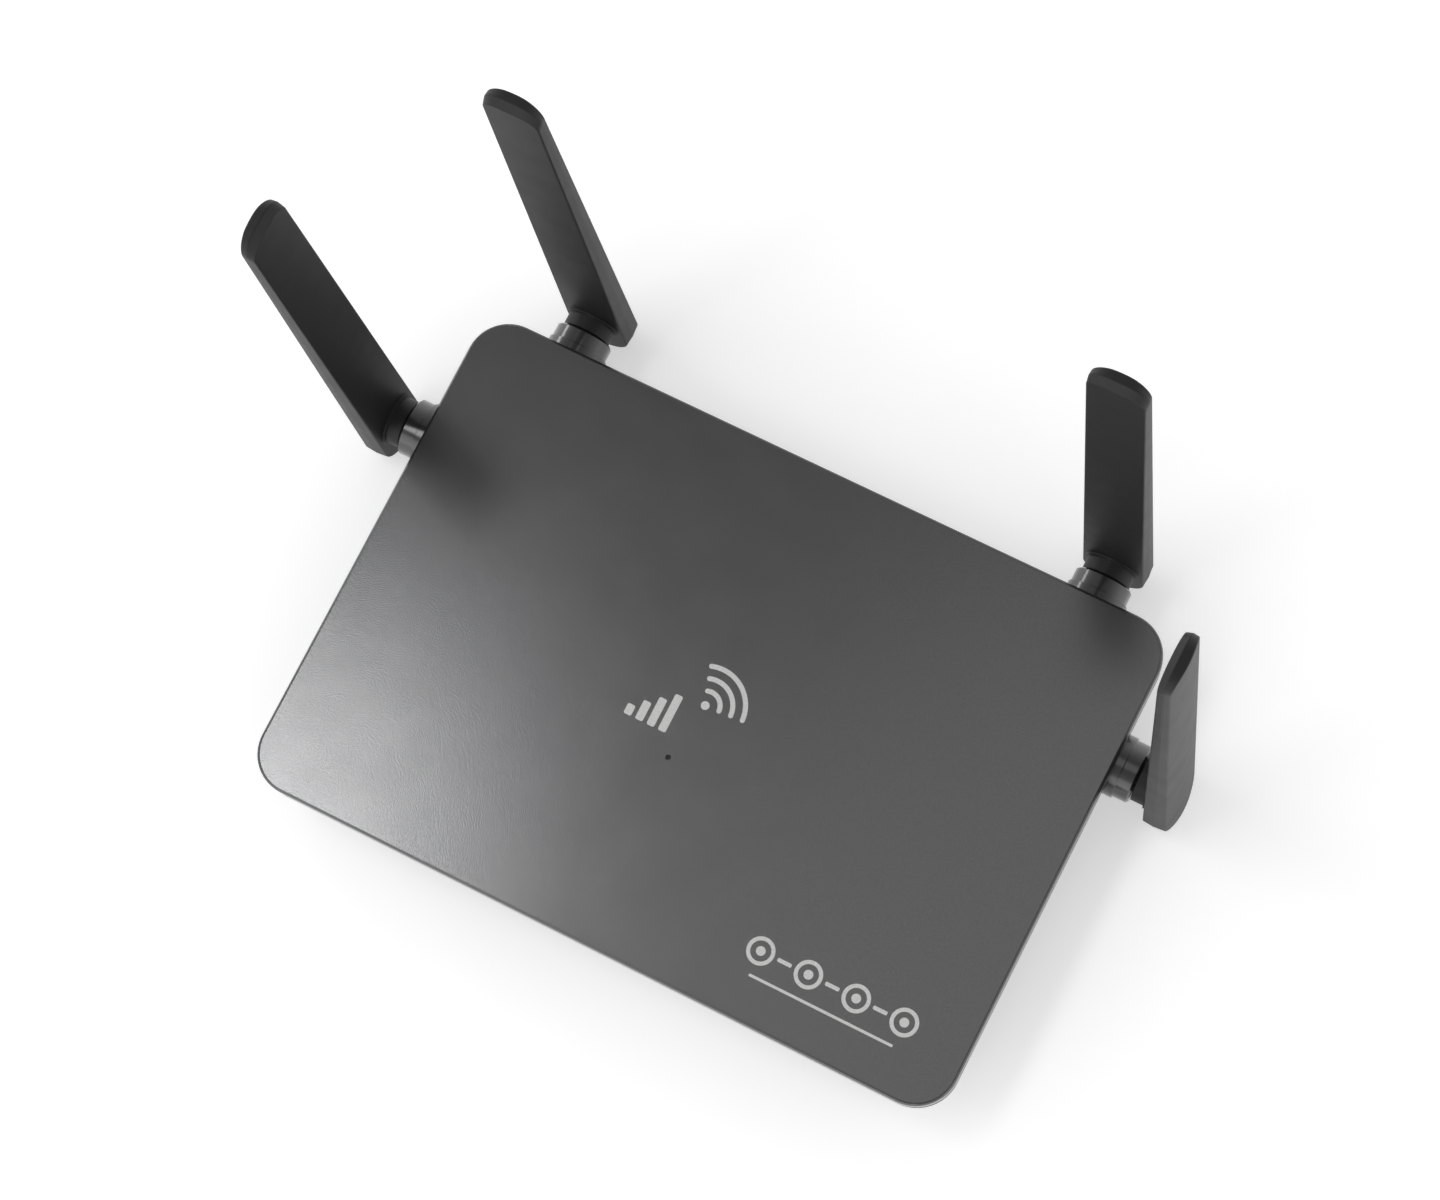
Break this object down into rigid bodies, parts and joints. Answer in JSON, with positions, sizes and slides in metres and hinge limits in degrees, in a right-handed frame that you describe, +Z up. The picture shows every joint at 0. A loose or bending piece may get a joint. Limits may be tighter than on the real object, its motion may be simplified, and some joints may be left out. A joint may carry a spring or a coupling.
{
  "type": "wifi router",
  "caption": "Flat desk-top mobile-broadband wifi router with paddle antennas that swivel about stubs on its rear and side edges.",
  "frame": {"origin": "middle of the whole object's footprint, on the table", "axes": "+Z up, +X to the router's right seen from its front, +Y from the front edge to the port side"},
  "size_m": [0.23, 0.1516, 0.1748],
  "materials": {
    "cover_paint": "fine satin metallic paint on plastic",
    "housing_plastic": "fine moulded texture",
    "antenna_plastic": "satin moulded",
    "collar_plastic": "semi-gloss moulded",
    "clip_steel": "spring steel",
    "radiator_board": "printed circuit laminate",
    "lead_jacket": "smooth jacket",
    "plug_brass": "gold flashed",
    "board_laminate": "solder mask",
    "jack_plastic": "moulded",
    "contact_gold": "gold plated",
    "power_jack_plastic": "moulded",
    "pin_nickel": "nickel plated",
    "socket_steel": "stamped sheet",
    "button_plastic": "moulded",
    "switch_plastic": "moulded",
    "led_body": "clear epoxy on white base",
    "clear_pipe": "clear polycarbonate, stood in by glass",
    "chip_epoxy": "matt epoxy",
    "pad_silicone": "soft silicone",
    "sink_aluminium": "extruded, clear anodised",
    "shield_tin": "tin-plated sheet",
    "coil_ferrite": "ferrite block",
    "capacitor_can": "drawn can",
    "screw_steel": "zinc-plated steel",
    "foot_rubber": "matt rubber",
    "label_film": "plain printed-stock film, blank"
  },
  "bodies": {
    "router_body": {"top_cover": "cover_paint", "bottom_housing": "housing_plastic", "rubber_feet": "foot_rubber", "housing_screws": "screw_steel", "blank_label": "label_film", "main_board": "board_laminate", "board_screws": "screw_steel", "jack_contacts": "contact_gold", "dc_jack": "power_jack_plastic", "dc_jack_pin": "pin_nickel", "sim_socket": "socket_steel", "reset_switch": "switch_plastic", "status_led": "led_body", "light_pipe": "clear_pipe", "router_chip": "chip_epoxy", "thermal_pad": "pad_silicone", "heat_sink": "sink_aluminium", "memory_chip": "chip_epoxy", "wifi_shield": "shield_tin", "network_magnetics": "chip_epoxy", "capacitors": "capacitor_can", "inductors": "coil_ferrite", "lte_module_board": "board_laminate", "lte_module_shield": "shield_tin", "lte_module_socket": "jack_plastic", "module_standoffs": "pin_nickel", "module_screws": "screw_steel", "coax_plugs": "plug_brass", "coax_sockets": "plug_brass", "network_jack_1": "jack_plastic", "network_jack_2": "jack_plastic", "network_jack_3": "jack_plastic", "network_jack_4": "jack_plastic", "rear_left_antenna_collar": "collar_plastic", "rear_left_antenna_lead": "lead_jacket", "rear_right_antenna_collar": "collar_plastic", "rear_right_antenna_lead": "lead_jacket", "left_antenna_collar": "collar_plastic", "left_antenna_lead": "lead_jacket", "right_antenna_collar": "collar_plastic", "right_antenna_lead": "lead_jacket"},
    "rear_left_antenna": {"rear_left_antenna_inner_shell": "antenna_plastic", "rear_left_antenna_outer_shell": "antenna_plastic", "rear_left_antenna_radiator": "radiator_board", "rear_left_antenna_clip": "clip_steel"},
    "rear_right_antenna": {"rear_right_antenna_inner_shell": "antenna_plastic", "rear_right_antenna_outer_shell": "antenna_plastic", "rear_right_antenna_radiator": "radiator_board", "rear_right_antenna_clip": "clip_steel"},
    "left_antenna": {"left_antenna_inner_shell": "antenna_plastic", "left_antenna_outer_shell": "antenna_plastic", "left_antenna_radiator": "radiator_board", "left_antenna_clip": "clip_steel"},
    "right_antenna": {"right_antenna_inner_shell": "antenna_plastic", "right_antenna_outer_shell": "antenna_plastic", "right_antenna_radiator": "radiator_board", "right_antenna_clip": "clip_steel"},
    "reset_button": {"reset_button": "button_plastic"}
  },
  "joints": [
    {"name": "rear_left_swivel", "type": "hinge", "parent": "router_body", "child": "rear_left_antenna", "pos_m": [-0.0734, 0.05722, 0.0202], "axis": [0, -1, 0], "range_deg": [-25, 90]},
    {"name": "rear_right_swivel", "type": "hinge", "parent": "router_body", "child": "rear_right_antenna", "pos_m": [0.0734, 0.05722, 0.0202], "axis": [0, 1, 0], "range_deg": [-25, 90]},
    {"name": "left_swivel", "type": "hinge", "parent": "router_body", "child": "left_antenna", "pos_m": [-0.0965, 0.02312, 0.0202], "axis": [1, 0, 0], "range_deg": [-60, 90]},
    {"name": "right_swivel", "type": "hinge", "parent": "router_body", "child": "right_antenna", "pos_m": [0.0965, 0.02312, 0.0202], "axis": [1, 0, 0], "range_deg": [-60, 90]},
    {"name": "reset_press", "type": "slide", "parent": "router_body", "child": "reset_button", "axis": [0, -1, 0], "range_m": [0, 0.0006], "stiffness_N_per_m": 600}
  ]
}
